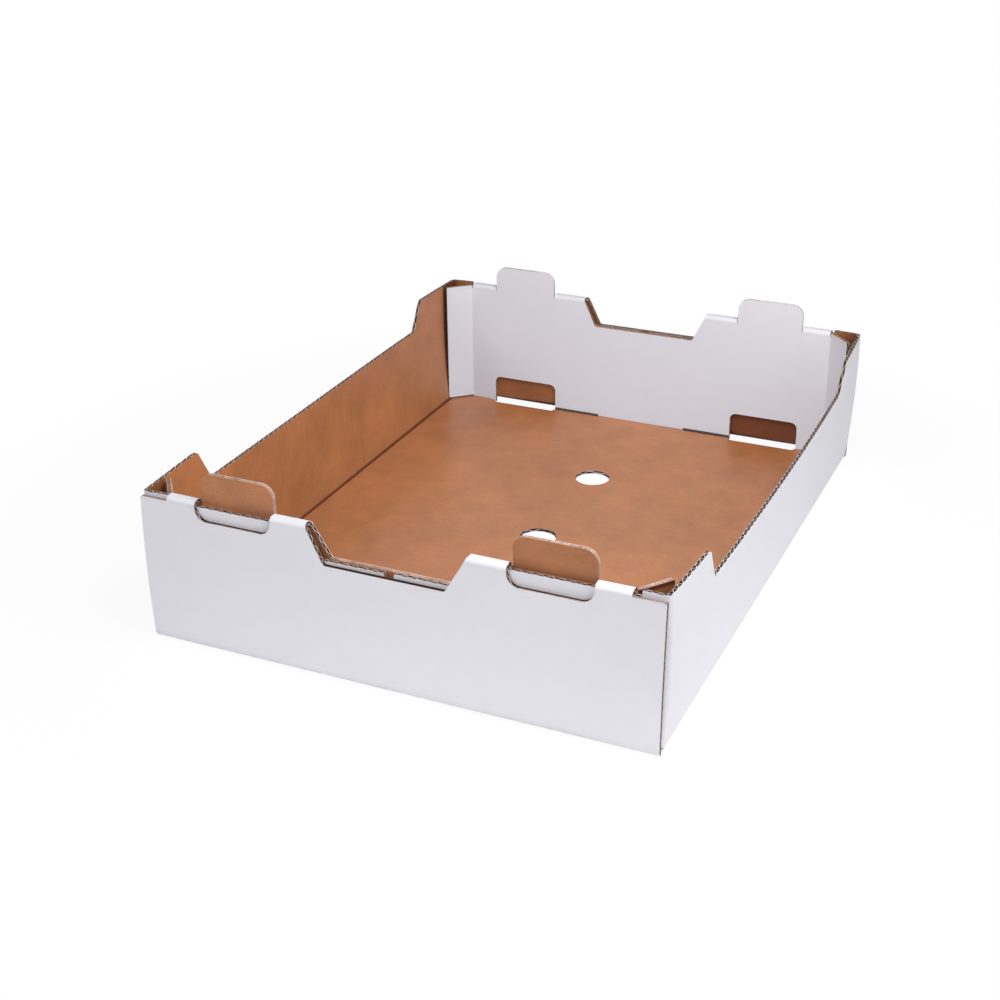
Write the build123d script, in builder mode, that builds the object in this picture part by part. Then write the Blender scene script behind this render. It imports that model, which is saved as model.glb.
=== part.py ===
from build123d import *
from math import cos, radians, sin
import os

# A tray box of corrugated board, cut from one sheet and folded up, in millimetres.
# X runs across the tray, from side wall to side wall, and Y along it, from end wall to end wall.
# The origin is the middle of the footprint, on the surface that the tray stands on.

os.makedirs("parts", exist_ok=True)

# Sheet
board = 3.3                   # thickness of the corrugated board
layer_gap = 0.15              # air between two layers of board that lie against each other
flap_slack = 0.1              # air between the corner flaps and the inner wall
fold_radius = 1.2             # inside radius of a single crease
strip_fold_radius = 0.5       # inside radius of the two tight creases of a top strip

# Footprint and height
tray_length = 530.0           # over the outer faces of the end walls
tray_width = 400.0            # over the side walls, at their foot
wall_height = 121.2           # up to the flat top strip of an end wall

# Side walls, which are one layer thick and spring outwards a little
side_lean = 2.0               # degrees from upright
peak_inset = 74.0             # from an end of the tray to the peak where the top edge turns down
dip_inset = 89.0              # from an end of the tray to the foot of that slope
dip_depth = 27.3              # how far the middle of the side wall lies below its ends
peak_rounding = 4.0
dip_rounding = 3.0

# Corner flaps, which turn in from the side walls and lie between the layers of an end wall
flap_meeting_gap = 1.5        # between the free edges of two flaps, at the foot
flap_strip_clearance = 0.8    # from a flap's lowered top edge up to the underside of the strip
flap_step_clearance = 2.5     # from the end of the top strip to the raised corner of a flap
flap_step_rounding = 1.5
flap_grip_setback = 5.0       # from the flank of the hand notch to that of a flap's own notch

# End walls: an outer wall, a top strip folded over, and an inner wall down to the floor
outer_wall_setback = 0.2      # from the side wall's face to the raw upright edge of the outer wall
corner_edge_drop = 3.3        # raw top edge of the outer wall beyond the strip, below the strip
corner_edge_rounding = 1.5
strip_end_inset = 22.5        # from the side of the tray to the end of a top strip

# Hand notch in the middle of each end wall
grip_top_width = 122.0
grip_slope = 0.473            # how much each flank closes in for each millimetre of depth
grip_depth = 29.3             # in the outer wall, from the top of the strip
grip_step = 2.9               # the layers behind the outer wall are cut this much less deep
grip_rounding = 2.0

# Ears, which stand up from the inner wall and are cut out of the strip and the outer wall
ear_spacing_share = 0.608     # distance between the middles of two ears, as a share of the tray's width
ear_width = 60.0
ear_rise = 20.6               # above the top strip
ear_rounding = 10.0
ear_notch_clearance = 1.3     # beside an ear, in the notch it is cut from
ear_notch_depth = 14.8        # in the outer wall, from the top of the strip

# Windows and floor slots, which take the ears of a tray stacked underneath
window_side_clearance = 2.3   # beside an ear of the tray below
window_top_clearance = 7.5    # over an ear of the tray below
window_rounding = 6.0
socket_depth = 6.0            # how far a slot reaches past the inner wall, into the tray
socket_taper = 1.5            # how much each end of that wide part closes in, away from the wall
slot_crease_turn = 45.0       # degrees of the outer wall's foot crease that a slot cuts away

# Lugs, which hold the foot of the inner wall in the slots
lug_spacing_share = 0.2165    # distance between the two inner lugs, as a share of the tray's width
lug_outer_width = 6.5         # on the side of a window towards the corner
lug_face_clearance = 1.6      # from a lug to the edge of its slot, on the tray's inside
lug_end_clearance = 0.4
lug_lift = 0.4                # from the surface that the tray stands on to a lug's lower edge

# Wings, which turn in from the ends of the inner wall and brace the corners
wing_turn = 45.0              # degrees
wing_fold_reach = 1.0         # from the end of the top strip to the wing's crease
wing_drop = 1.3               # top edge of a wing, below the top strip
wing_wall_clearance = 0.4     # from a wing's tip to the foot of the side wall

# Round vent holes in a row along the floor
vent_diameter = 31.0
vent_pitch = 126.0
vent_count = 3
vent_row_x = 3.0              # the row's middle, off the middle of the floor
vent_row_y = -6.5

# Sizes that follow from the ones above
fold_outside = board + fold_radius
strip_fold_outside = board + strip_fold_radius
strip_depth = 3 * board + layer_gap + flap_slack
inner_wall_depth = strip_depth - board
flap_low_edge = wall_height - board - flap_strip_clearance
flap_face_y = tray_length / 2 - board - layer_gap
hinge_x = tray_width / 2 - fold_outside
crease_start = tray_length / 2 - fold_outside
cut_reach = 2 * fold_outside
strip_end_x = tray_width / 2 - strip_end_inset
outer_wall_edge_x = tray_width / 2 - outer_wall_setback
ear_x = ear_spacing_share * tray_width / 2
ear_notch_width = ear_width + 2 * ear_notch_clearance
window_width = ear_width + 2 * window_side_clearance
window_height = ear_rise + window_top_clearance
lug_inner_x = lug_spacing_share * tray_width / 2
lug_outer_x = ear_x + window_width / 2 + lug_outer_width
inner_wall_foot = board + layer_gap
wing_foot = fold_outside + layer_gap
wing_start_x = strip_end_x + wing_fold_reach
wing_end_x = tray_width / 2 - board - wing_wall_clearance
well_above = 2 * wall_height
through_a_wall = 2 * board

# Planes that the walls are drawn on
end_face = Plane.XZ.offset(tray_length / 2)
inner_wall_back = end_face.offset(-inner_wall_depth)
side_hinge = Plane(
    origin=(hinge_x, 0, fold_outside),
    x_dir=(cos(radians(side_lean)), 0, -sin(radians(side_lean))),
    z_dir=(sin(radians(side_lean)), 0, cos(radians(side_lean))),
)


def ear_outlines(plane, width, low_edge, high_edge):
    """Rounded outline of both ears, or of the notches that they are cut from."""
    with BuildSketch(plane) as ears:
        with Locations((-ear_x, (low_edge + high_edge) / 2), (ear_x, (low_edge + high_edge) / 2)):
            RectangleRounded(width, high_edge - low_edge, ear_rounding)
    return ears.sketch


def grip_outline(plane, step=0, setback=0):
    """Hand notch through one layer of an end wall.

    The step makes it less deep, and the setback moves both flanks away from the middle.
    """
    depth = grip_depth - step
    top_half = grip_top_width / 2 + setback
    with BuildSketch(plane) as grip:
        with BuildLine():
            Polyline(
                (-top_half, well_above),
                (-top_half, wall_height),
                (-top_half + depth * grip_slope, wall_height - depth),
                (top_half - depth * grip_slope, wall_height - depth),
                (top_half, wall_height),
                (top_half, well_above),
                close=True,
            )
        make_face()
        fillet(grip.vertices().group_by(Axis.Y)[0], grip_rounding)
    return grip.sketch


# Side walls with their corner flaps
with BuildPart() as side_walls:
    # Crease between the floor and the side wall
    with BuildSketch(Plane.XZ):
        with BuildLine():
            Polyline(
                (hinge_x, 0),
                (hinge_x, board),
            )
            fold_arc = CenterArc((hinge_x, fold_outside), fold_radius, -90, 90 - side_lean)
            Line(
                fold_arc @ 1,
                (
                    hinge_x + fold_outside * cos(radians(side_lean)),
                    fold_outside - fold_outside * sin(radians(side_lean)),
                ),
            )
            CenterArc((hinge_x, fold_outside), fold_outside, -side_lean, side_lean - 90)
        make_face()
    extrude(amount=crease_start, both=True)

    # Wall, corner creases and flaps, seen along the wall's own upright
    with BuildSketch(side_hinge):
        with BuildLine():
            FilletPolyline(
                (flap_meeting_gap / 2 - hinge_x, -flap_face_y),
                (fold_outside, -flap_face_y),
                (fold_outside, flap_face_y),
                (flap_meeting_gap / 2 - hinge_x, flap_face_y),
                radius=fold_outside,
            )
            offset(amount=board, side=Side.LEFT)
        make_face()
    extrude(amount=wall_height)
    mirror(about=Plane.YZ)

    # Top edge of the side walls, lower along the middle
    with BuildSketch(Plane.YZ):
        with BuildLine():
            FilletPolyline(
                (-tray_length, wall_height),
                (peak_inset - tray_length / 2, wall_height),
                (dip_inset - tray_length / 2, wall_height - dip_depth),
                (tray_length / 2 - dip_inset, wall_height - dip_depth),
                (tray_length / 2 - peak_inset, wall_height),
                (tray_length, wall_height),
                radius=(peak_rounding, dip_rounding, dip_rounding, peak_rounding),
            )
            Polyline(
                (tray_length, wall_height),
                (tray_length, well_above),
                (-tray_length, well_above),
                (-tray_length, wall_height),
            )
        make_face()
    extrude(amount=tray_width, both=True, mode=Mode.SUBTRACT)

    # Flaps are lower where the top strip covers them, and notched for the hand
    with BuildSketch(Plane.XZ) as flap_top:
        with Locations((0, (flap_low_edge + well_above) / 2)):
            Rectangle(2 * (strip_end_x + flap_step_clearance), well_above - flap_low_edge)
        fillet(flap_top.vertices().group_by(Axis.Y)[0], flap_step_rounding)
    extrude(amount=tray_length, both=True, mode=Mode.SUBTRACT)
    extrude(grip_outline(Plane.XZ, grip_step, flap_grip_setback), amount=tray_length, both=True, mode=Mode.SUBTRACT)

# End walls with their strips, ears and wings
with BuildPart() as end_walls:
    # Outer wall, up to its raw edge at the corners
    with BuildSketch(Plane.YZ):
        with BuildLine():
            FilletPolyline(
                (2 * fold_outside - tray_length / 2, 0),
                (-tray_length / 2, 0),
                (-tray_length / 2, wall_height - corner_edge_drop),
                radius=fold_outside,
            )
            offset(amount=board, side=Side.RIGHT)
        make_face()
    extrude(amount=outer_wall_edge_x, both=True)
    raw_corners = end_walls.edges().filter_by(Axis.Y).group_by(Axis.Z)[-1]
    fillet(raw_corners, corner_edge_rounding)

    # Outer wall, top strip and inner wall in one run
    with BuildSketch(Plane.YZ):
        with BuildLine():
            FilletPolyline(
                (-tray_length / 2, fold_outside),
                (-tray_length / 2, wall_height),
                (strip_depth - tray_length / 2, wall_height),
                (strip_depth - tray_length / 2, lug_lift),
                radius=strip_fold_outside,
            )
            offset(amount=board, side=Side.RIGHT)
        make_face()
    extrude(amount=strip_end_x, both=True)

    # Ears, left standing where the strip and the outer wall are notched
    notches = ear_outlines(end_face, ear_notch_width, wall_height - ear_notch_depth, well_above)
    extrude(notches, amount=-inner_wall_depth, mode=Mode.SUBTRACT)
    ears = ear_outlines(inner_wall_back, ear_width, wall_height - ear_rise, wall_height + ear_rise)
    extrude(ears, amount=-board)

    # Hand notch, through the outer wall and then through the inner wall
    extrude(grip_outline(end_face), amount=-inner_wall_depth, mode=Mode.SUBTRACT)
    extrude(grip_outline(inner_wall_back, grip_step), amount=-through_a_wall, mode=Mode.SUBTRACT)

    # Windows, each with its lower half below the floor
    with BuildSketch(inner_wall_back):
        with Locations((-ear_x, 0), (ear_x, 0)):
            RectangleRounded(window_width, 2 * window_height, window_rounding)
    extrude(amount=-through_a_wall, mode=Mode.SUBTRACT)

    # Foot of the inner wall, which rests on the floor except at its lugs
    with BuildSketch(inner_wall_back) as foot:
        Rectangle(2 * (lug_inner_x + lug_end_clearance), 2 * inner_wall_foot)
        with Locations((-tray_width / 2, 0), (tray_width / 2, 0)):
            Rectangle(2 * (tray_width / 2 - lug_outer_x + lug_end_clearance), 2 * inner_wall_foot)
    extrude(amount=-through_a_wall, mode=Mode.SUBTRACT)

    # Wings, from the ends of the inner wall towards the side walls
    with BuildSketch(Plane.XY.offset(wing_foot)):
        with BuildLine():
            FilletPolyline(
                (strip_end_x, strip_depth - tray_length / 2),
                (wing_start_x, strip_depth - tray_length / 2),
                (
                    wing_start_x + tray_width * cos(radians(wing_turn)),
                    strip_depth - tray_length / 2 + tray_width * sin(radians(wing_turn)),
                ),
                radius=fold_radius,
            )
            offset(amount=board, side=Side.RIGHT)
        make_face()
        split(bisect_by=Plane.YZ.offset(wing_end_x), keep=Keep.BOTTOM)
        mirror(about=Plane.YZ)
    extrude(amount=wall_height - wing_drop - wing_foot)

    mirror(about=Plane.XZ)

# The whole tray
with BuildPart() as folded_tray:
    with BuildSketch():
        Rectangle(tray_width - 2 * fold_outside, tray_length - 2 * fold_outside)
    extrude(amount=board)
    add(side_walls.part)
    add(end_walls.part)

    # Slots along the end walls, wider under the windows
    with BuildSketch():
        for end in (-1, 1):
            face_edge = tray_length / 2 - strip_depth - lug_face_clearance
            socket_edge = tray_length / 2 - strip_depth - socket_depth
            socket_half = window_width / 2 - socket_taper
            for side in (-1, 1):
                with BuildLine():
                    Polyline(
                        (side * lug_inner_x, end * crease_start),
                        (side * lug_inner_x, end * face_edge),
                        (side * (ear_x - window_width / 2), end * face_edge),
                        (side * (ear_x - socket_half), end * socket_edge),
                        (side * (ear_x + socket_half), end * socket_edge),
                        (side * (ear_x + window_width / 2), end * face_edge),
                        (side * lug_outer_x, end * face_edge),
                        (side * lug_outer_x, end * crease_start),
                        close=True,
                    )
                make_face()
    extrude(amount=board, mode=Mode.SUBTRACT)

    # The outer edge of each slot lies in the crease at the foot of the outer wall
    with BuildSketch(Plane.YZ.offset(lug_inner_x), Plane.YZ.offset(-lug_outer_x)):
        for end in (-1, 1):
            with BuildLine():
                Polyline(
                    (end * crease_start, fold_outside),
                    (end * crease_start, fold_outside - cut_reach),
                    (
                        end * (crease_start + cut_reach * sin(radians(slot_crease_turn))),
                        fold_outside - cut_reach * cos(radians(slot_crease_turn)),
                    ),
                    close=True,
                )
            make_face()
    extrude(amount=lug_outer_x - lug_inner_x, mode=Mode.SUBTRACT)

    # Vent holes
    with Locations((vent_row_x, vent_row_y)):
        with GridLocations(0, vent_pitch, 1, vent_count):
            Hole(vent_diameter / 2)

folded_tray.part.label = "folded_tray"
export_step(folded_tray.part, "parts/folded_tray.step")
print("solids", len(folded_tray.solids()), "volume", round(folded_tray.part.volume))
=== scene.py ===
# %% [markdown]
# # A stacking tray, folded from one sheet of corrugated board
#
# The real tray is a single sheet. It is cut out flat, creased, and folded up without glue.
# Corrugated board is three papers: a white liner outside, a brown kraft liner inside, and a
# wavy paper, the fluting, between them. Wherever the sheet was cut, all three show.
#
# The tray could be modelled as plain thick plates, with the flutes painted on. Here it is made
# as it is in the factory instead. The outlines are drawn on the flat sheet, each paper is
# filled in flat, and one formula then folds every point into place. So the three papers stay
# together through every crease, and the cut edges show real flutes from any side.

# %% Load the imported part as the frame
from math import cos, pi, radians, sin
import bpy
import numpy as np
from mathutils import Matrix, Vector
from mathutils.geometry import delaunay_2d_cdt


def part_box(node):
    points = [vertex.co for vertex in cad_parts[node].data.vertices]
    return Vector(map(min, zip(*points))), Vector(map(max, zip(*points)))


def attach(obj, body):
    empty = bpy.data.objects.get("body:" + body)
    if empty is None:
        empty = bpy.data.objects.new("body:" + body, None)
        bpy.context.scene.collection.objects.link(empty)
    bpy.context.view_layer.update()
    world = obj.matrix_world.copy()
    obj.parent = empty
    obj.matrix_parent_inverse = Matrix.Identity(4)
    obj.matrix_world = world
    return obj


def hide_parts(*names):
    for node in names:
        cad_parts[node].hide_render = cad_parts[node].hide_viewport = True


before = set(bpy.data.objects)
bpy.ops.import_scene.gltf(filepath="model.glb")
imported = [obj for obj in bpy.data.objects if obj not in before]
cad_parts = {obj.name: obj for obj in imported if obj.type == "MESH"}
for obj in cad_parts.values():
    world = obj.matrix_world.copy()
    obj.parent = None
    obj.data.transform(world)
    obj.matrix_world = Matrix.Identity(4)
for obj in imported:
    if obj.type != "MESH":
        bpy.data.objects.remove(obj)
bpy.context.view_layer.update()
low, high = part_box("folded_tray")
mm = 0.001
print("tray box in mm:", [round((b - a) / mm, 1) for a, b in zip(low, high)])

# %% [markdown]
# ## The sizes of the sheet
#
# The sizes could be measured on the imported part's mesh. They are written down instead, in
# millimetres, because they are the sizes that the sheet is cut to. The length and the full
# height come from the frame itself.

# %% Board, walls and strips
board = 3.3
crease_bend = 4.5            # outer radius of a crease
strip_bend = 3.8             # outer radius of the two tight creases of a top strip
half_length = (high.y - low.y) / mm / 2
half_width = 200.0           # at the foot of the side walls
wall_height = 121.2          # up to the top strips
strip_depth = 10.15          # a top strip, from the outer wall's face to the inner wall's
side_lean = radians(2.0)
hinge_x = half_width - crease_bend
flap_face_y = half_length - board - 0.15

# %% Cut-outs, measured from the middle of the tray and from the ground
outer_wall_x = 199.8         # raw upright edge of an outer wall
strip_x = 177.5              # end of a top strip
corner_edge_z = 117.9        # raw top edge of an outer wall, beyond the strip
grip_half = 61.0             # hand notch: half its width at the top
grip_slope = 0.473           # how much narrower it gets for each mm of depth
grip_depth, grip_step = 29.3, 2.9          # depth outside, and how much less inside
ear_x, ear_half = 121.6, 30.0
ear_top = (high.z - low.z) / mm
ear_rounding = 10.0          # of the ears and of the notches they are cut from
ear_notch_halves = {-1: 31.3, 1: 30.6}     # by end: the near one is -1, the far one 1
ear_notch_z = wall_height - 14.8
window_half, window_top = 32.3, 28.1
socket_depth, socket_taper, slot_gap = 6.0, 1.5, 1.6
slot_turns = {-1: radians(45), 1: radians(62)}     # how far they reach into the foot crease
foot_z, lug_z = 3.45, 0.4
lug_inner_x, lug_outer_x, lug_clearance = 43.3, 160.4, 0.4
wing_x, wing_length, wing_foot_z, wing_top_z = 178.3, 25.9, 4.65, 119.9
wing_bend = 1.2
vent_radius, vent_pitch, vent_x, vent_y = 15.5, 126.0, 3.0, -6.5
print("ears reach", round(ear_top, 1), "mm")

# %% [markdown]
# ## Folding by formula
#
# A folded sheet, seen from its edge, is a path of straight runs and round bends. The point at
# a distance s along such a path is a sum: each piece of the path adds the part of it that s
# has already passed. That gives the white face. The other papers lie to the left of it, at
# their depth in the board.

# %% A path of runs and bends
def follow(start, heading, pieces, s):
    """Points and headings at the distances s along a path.

    Each piece is (length, turn). With the curvature k = turn / length, a point that is t into
    a bend has moved by (sin(h + k t) - sin h) / k and (cos h - cos(h + k t)) / k, and on a
    straight run by t cos h and t sin h. Pieces not reached yet have t = 0.
    """
    s = np.asarray(s, float)
    a, b = np.full_like(s, start[0]), np.full_like(s, start[1])
    turned = np.full_like(s, heading)
    passed = 0.0
    for length, turn in pieces:
        t = np.clip(s - passed, 0.0, length)
        if turn:
            k = turn / length
            a += (np.sin(heading + k * t) - sin(heading)) / k
            b += (cos(heading) - np.cos(heading + k * t)) / k
            turned += k * t
        else:
            a += t * cos(heading)
            b += t * sin(heading)
        passed += length
        heading += turn
    return a, b, turned


# %% Where the end wall's folds lie along the sheet
quarter = pi / 2
endless = 1e4
end_pieces = [
    (half_length - crease_bend, 0),                   # floor
    (crease_bend * quarter, quarter),                 # crease at the foot
    (wall_height - crease_bend - strip_bend, 0),      # outer wall
    (strip_bend * quarter, quarter),                  # over the top
    (strip_depth - 2 * strip_bend, 0),                # strip
    (strip_bend * quarter, quarter),
    (endless, 0),                                     # inner wall, downwards
]
floor_end, wall_start, wall_end, strip_start, strip_end, inner_start = np.cumsum(
    [length for length, turn in end_pieces[:6]]
)
inner_top_z = wall_height - strip_bend


def on_outer_wall(z):
    """Distance along the sheet to the height z of an outer wall."""
    return wall_start + z - crease_bend


def on_inner_wall(z):
    """Distance along the sheet to the height z of an inner wall."""
    return inner_start + inner_top_z - z


print("sheet length", round(2 * on_inner_wall(lug_z)), "mm")

# %% [markdown]
# An ear belongs to the inner wall, though on the flat sheet it lies between the cuts in the
# strip. The fold passes it by, so its points keep the inner wall's plane. A wing does the same
# and turns about an upright crease as well. In the photograph each wing stands at its own
# angle, so each corner has one.

# %% Fold the floor with both end walls
# Corners are named (side, end): left is -1 and right 1, near is -1 and far 1.
wing_turns = {(-1, -1): 52.5, (1, -1): 54.0, (-1, 1): 43.0, (1, 1): 45.0}    # degrees
wing_bend_start = wing_x - 0.3
ear_foot = 20.0              # how far an ear's own plane goes on below its cut
just_on = 0.05               # margin for points that lie on an outline
spread_left, spread_right = 1.7, 1.3       # how far an outer wall's raw edge springs out
spread_from, spread_over = 150.0, 50.0     # where that begins, and over what width it grows


def inside_ear(u, v, margin):
    """True where a point lies in an ear on the flat sheet, or within margin of its outline.

    The distance to a rounded box is that to the inner box of its corners' centres, less the
    radius.
    """
    top, foot = on_inner_wall(ear_top), inner_start + ear_foot
    du = np.abs(np.abs(u) - ear_x) - (ear_half - ear_rounding)
    dv = np.abs(v - (top + foot) / 2) - ((foot - top) / 2 - ear_rounding)
    outside = np.hypot(np.maximum(du, 0), np.maximum(dv, 0))
    return outside + np.minimum(np.maximum(du, dv), 0) - ear_rounding < margin


def fold_ends(u, v, depth):
    """Folds the floor and the end walls: u runs across the tray, v along it and up the ends.

    The path of the end wall gives y and z from v. Beyond an ear's or a wing's cut, y is that
    of the inner wall. A wing's u follows a second path, which turns in by the wing's angle.
    Towards its raw upright edge, an outer wall springs out by the square of the distance.
    """
    end, v = np.sign(v), np.abs(v)
    y, z, heading = follow((0, 0), 0, end_pieces, v)
    ny, nz = -np.sin(heading), np.cos(heading)
    wing = (np.abs(u) > wing_bend_start) & (v > on_inner_wall(wing_top_z) - 0.5)
    inner = (v > inner_start - 1e-6) | inside_ear(u, v, just_on) | wing
    y = np.where(inner, half_length - strip_depth, y)
    z = np.where(inner, inner_top_z - (v - inner_start), z)
    ny, nz = np.where(inner, 1.0, ny), np.where(inner, 0.0, nz)
    x, nx = np.abs(u), np.zeros_like(u)
    for (side, which), turn in wing_turns.items():
        here = wing & (np.sign(u) == side) & (end == which)
        turn = radians(turn)
        path = [(wing_bend_start, 0), (wing_bend * turn, turn), (endless, 0)]
        px, inward, heading = follow((0, 0), 0, path, np.abs(u))
        x = np.where(here, px, x)
        y = np.where(here, y - inward, y)
        nx = np.where(here, np.sin(heading), nx)
        ny = np.where(here, np.cos(heading), ny)
    x, y, z = x + nx * depth, y + ny * depth, z + nz * depth
    outer = (np.abs(u) > spread_from) & (v < wall_end) & (v > floor_end)
    share = np.where(outer, np.clip((np.abs(u) - spread_from) / spread_over, 0, 1) ** 2, 0.0)
    height = np.clip(z / wall_height, 0, 1)
    x = x + share * np.where(u < 0, spread_left * np.sin(pi * height), spread_right * height**2)
    return np.stack([np.sign(u) * x, end * y, z], axis=-1)


# %% [markdown]
# A side wall leans out a little and carries a flap at each end, which turns in behind the
# outer wall. Its flutes run upright. In the photograph the board has some spring: near the
# camera the left wall stands almost upright, while the right one bulges out.

# %% Fold a side wall with its flaps
lean_turn = quarter - side_lean
wall_foot = crease_bend * lean_turn                   # distance from the floor to the flat wall
corner_start = flap_face_y - crease_bend
corner_end = corner_start + crease_bend * quarter
spring_places = [-258, -191, -100, 0, 100, 191, 258]     # y, along a side wall
spring_mid_z = 94.0
spring_mid = {
    -1: [-2.2, -0.3, 0.4, 1.4, 3.2, 2.1, 0.4],
    1: [-0.2, 2.2, 4.7, 5.6, 5.3, 3.4, 1.4],
}
spring_top = {
    -1: [-3.2, -0.5, 0.5, 1.7, 2.6, 0.9, -0.9],
    1: [-1.8, 2.3, 5.2, 6.4, 6.0, 4.5, 0.0],
}
sunk_corner = 1.3                          # how much lower the near left corner stands
sunk_from, sunk_over = 190.0, 60.0         # where it begins to sink, and over what length
hold_from, hold_over = 150.0, 40.0         # a flap springs with its wall only beyond this x


def sprung(y, z, side):
    """How far a side wall stands out beyond its lean, at the place y and the height z.

    Smooth curves of the fourth degree along y pass close to the values above, and between the
    floor, the middle height and the top the wall is a parabola in z.
    """
    middle = np.polyval(np.polyfit(spring_places, spring_mid[side], 4), y)
    top = np.polyval(np.polyfit(spring_places, spring_top[side], 4), y)
    s, t = z / spring_mid_z, wall_height / spring_mid_z
    bow = (top - t * middle) / (t * t - t)
    return (middle - bow) * s + bow * s * s


def fold_side(along, up, depth, side):
    """Folds one side wall: along runs round the corners, up runs from the floor up the wall.

    Seen from the end, the path is the crease and then the leaning wall. Seen from above it is
    the wall, the corner and the flap, and the two add up. The spring is added last.
    """
    end, along = np.where(along < 0, -1.0, 1.0), np.abs(along)
    x, z, heading = follow((hinge_x, 0), 0, [(wall_foot, lean_turn), (endless, 0)], up)
    plan = [(corner_start, 0), (crease_bend * quarter, quarter), (endless, 0)]
    p, y, turned = follow((0, 0), quarter, plan, along)
    x = x + p * cos(side_lean)
    z = z - p * sin(side_lean)
    low_part = up < wall_foot - 1e-6
    across = -np.sin(turned)
    nx = np.where(low_part, -np.sin(heading), across * cos(side_lean))
    ny = np.where(low_part, 0.0, np.cos(turned))
    nz = np.where(low_part, np.cos(heading), -across * sin(side_lean))
    x, y, z = x + nx * depth, y + ny * depth, z + nz * depth
    hold = np.clip((x - hold_from) / hold_over, 0, 1)
    x = x + hold * sprung(end * np.minimum(y, spring_places[-1]), z, side)
    if side < 0:
        sinking = np.clip((-end * y - sunk_from) / sunk_over, 0, 1)
        z = z - sunk_corner * z / wall_height * sinking
    return np.stack([side * x, end * y, z], axis=-1)


def on_side_sheet(x, z):
    """Place on the flat side sheet, along and up, of a flap's point at x and z in the tray."""
    dx, dz = x - hinge_x, z - crease_bend
    p = dx * cos(side_lean) - dz * sin(side_lean)
    return corner_end - p, wall_foot + dx * sin(side_lean) + dz * cos(side_lean)


# %% [markdown]
# ## Drawing the outlines on the flat sheet
#
# On the real sheet a bent steel rule cuts every outline in one stroke. The outlines could be
# drawn as Blender curves, but in a list each corner follows the sizes above. Only the corners
# are written down, each with its rounding, and the round stretches are worked out as arcs.

# %% Rounded outlines
def rounded(corners, step=radians(10)):
    """Points of an outline whose corners (u, v, radius) are rounded by arcs.

    An arc touches both sides of its corner at radius / tan(half the angle between them).
    """
    corners = [tuple(c) + (0.0,) * (3 - len(c)) for c in corners]
    points = []
    for k, (u, v, radius) in enumerate(corners):
        here = np.array((u, v))
        if radius == 0:
            points.append(here[None])
            continue
        before = np.array(corners[k - 1][:2]) - here
        after = np.array(corners[(k + 1) % len(corners)][:2]) - here
        before, after = before / np.hypot(*before), after / np.hypot(*after)
        half = np.arccos(np.clip(before @ after, -1, 1)) / 2
        middle = (before + after) / np.hypot(*(before + after))
        centre = here + middle * radius / sin(half)
        span = pi - 2 * half
        angles = np.linspace(-span / 2, span / 2, max(3, int(np.ceil(span / step)) + 1))
        flank = np.array((-middle[1], middle[0]))
        if flank @ before > 0:
            flank = -flank
        turned = np.cos(angles)[:, None] * middle - np.sin(angles)[:, None] * flank
        points.append(centre - radius * turned)
    return np.concatenate(points)


def mirrored(chain, axis):
    """The chain followed by its mirror image, so that an open chain becomes a closed outline."""
    image = chain[::-1].copy()
    image[:, axis] *= -1
    return np.concatenate([chain, image])


# %% Outline of the floor with both end walls
seam_half = 22               # points from the middle of a side wall's foot to its end
seam_y = np.linspace(-corner_start, corner_start, 2 * seam_half + 1)
seam = np.stack([np.full(seam_half, hinge_x), seam_y[seam_half + 1:]], axis=-1)
end_edge = rounded([
    (hinge_x, floor_end),
    (outer_wall_x, floor_end),
    (outer_wall_x, on_outer_wall(corner_edge_z), 1.5),
    (strip_x, on_outer_wall(corner_edge_z)),
    (strip_x, inner_start),
    (wing_x, inner_start),
    (wing_x, on_inner_wall(wing_top_z)),
    (wing_x + wing_length, on_inner_wall(wing_top_z), 1.0),
    (wing_x + wing_length, on_inner_wall(wing_foot_z), 1.0),
    (wing_x, on_inner_wall(wing_foot_z)),
    (wing_x, on_inner_wall(foot_z)),
    (lug_outer_x - lug_clearance, on_inner_wall(foot_z)),
    (lug_outer_x - lug_clearance, on_inner_wall(lug_z)),
    (ear_x + window_half, on_inner_wall(lug_z)),
    (ear_x + window_half, on_inner_wall(window_top), 6.0),
    (ear_x - window_half, on_inner_wall(window_top), 6.0),
    (ear_x - window_half, on_inner_wall(lug_z)),
    (lug_inner_x + lug_clearance, on_inner_wall(lug_z)),
    (lug_inner_x + lug_clearance, on_inner_wall(foot_z)),
])
quarter_edge = np.concatenate([seam, end_edge])
end_loops = [mirrored(mirrored(quarter_edge, 0), 1)]

# %% Hand notches, ears, slots and vents
# Half the width of the inner wall's notch at its top and bottom, the same of the outer
# wall's, and the depth of that one. In the photograph they differ a little by corner.
far_grip_depth = 25.9
grip_places = {
    (-1, -1): (63.7, 47.4, 63.7, 49.9, grip_depth),
    (1, -1): (grip_half, 48.5, grip_half, 43.9, grip_depth),
    (-1, 1): (grip_half, 48.5, 59.3, 46.2, far_grip_depth),
    (1, 1): (grip_half, 48.5, grip_half, 48.5, far_grip_depth),
}
notch_shift = {(-1, -1): 1.0, (1, -1): -0.9, (-1, 1): 0.0, (1, 1): 0.0}      # outwards
inner_grip_depth = grip_depth - grip_step


def grip_chain(inner_top, inner_bottom, outer_top, outer_bottom, depth):
    """Half of a hand notch, from its bottom in the outer wall to its bottom in the inner one."""
    outer_slope = (outer_top - outer_bottom) / depth
    inner_slope = (inner_top - inner_bottom) / inner_grip_depth
    return rounded([
        (outer_bottom, on_outer_wall(wall_height - depth), 2.0),
        (outer_top - outer_slope * strip_bend, wall_end),
        (outer_top, strip_start),
        (inner_top, strip_end),
        (inner_top - inner_slope * strip_bend, inner_start),
        (inner_bottom, on_inner_wall(wall_height - inner_grip_depth), 2.0),
        (0, on_inner_wall(wall_height - inner_grip_depth)),
        (0, on_outer_wall(wall_height - depth)),
    ])[:-2]


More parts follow.
